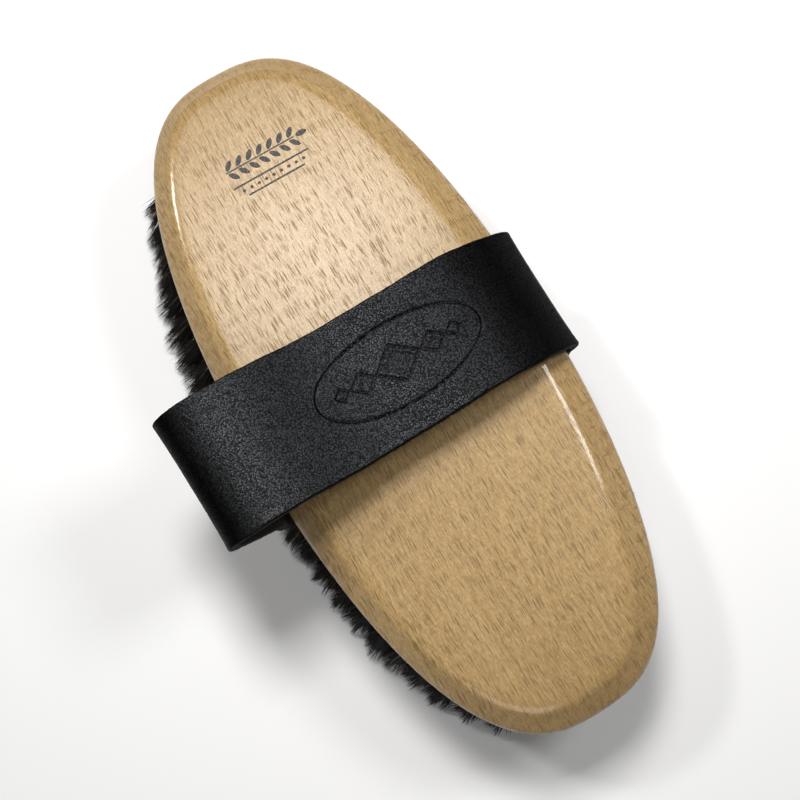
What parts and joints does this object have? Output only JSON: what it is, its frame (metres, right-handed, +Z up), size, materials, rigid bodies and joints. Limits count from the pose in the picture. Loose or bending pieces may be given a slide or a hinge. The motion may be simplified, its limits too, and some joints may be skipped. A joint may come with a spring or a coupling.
{
  "type": "body brush",
  "caption": "Oval wooden body brush with a leather hand strap across its back and dense dark bristle tufts on its underside.",
  "frame": {"origin": "centre of the middle tuft's trimmed end face, in the plane that the bristle tips stand on, below the centre of the block's outline", "axes": "+X along the block, +Y across it, +Z up from the bristle tips to the back of the block and the strap"},
  "size_m": [0.2176, 0.117, 0.0677],
  "materials": {
    "beech": "clear satin lacquer over pale beech",
    "strap_leather": "black pebbled leather, semi-matt, raw cut edges",
    "bristle": "dark natural hair, slightly glossy",
    "anchor_wire": "flat drawn wire",
    "nail_steel": "plain bright nail"
  },
  "bodies": {
    "block": {"brush_block": "beech", "strap_nails_left": "nail_steel", "strap_nails_right": "nail_steel", "resting_tufts": "bristle", "tuft_row_middle": "bristle", "tuft_ring_1_left": "bristle", "tuft_ring_1_right": "bristle", "tuft_ring_2_left": "bristle", "tuft_ring_2_right": "bristle", "tuft_ring_3_left": "bristle", "tuft_ring_3_right": "bristle", "tuft_ring_4_left": "bristle", "tuft_ring_4_right": "bristle", "tuft_ring_5_left": "bristle", "tuft_ring_5_right": "bristle", "anchor_row_middle": "anchor_wire", "anchor_ring_1_left": "anchor_wire", "anchor_ring_1_right": "anchor_wire", "anchor_ring_2_left": "anchor_wire", "anchor_ring_2_right": "anchor_wire", "anchor_ring_3_left": "anchor_wire", "anchor_ring_3_right": "anchor_wire", "anchor_ring_4_left": "anchor_wire", "anchor_ring_4_right": "anchor_wire", "anchor_ring_5_left": "anchor_wire", "anchor_ring_5_right": "anchor_wire"},
    "strap": {"hand_strap": "strap_leather"}
  },
  "joints": [
    {"name": "strap_sway", "type": "slide", "parent": "block", "child": "strap", "axis": [0, 1, 0], "range_m": [0, 0.012], "deforming": ["hand_strap"]}
  ]
}
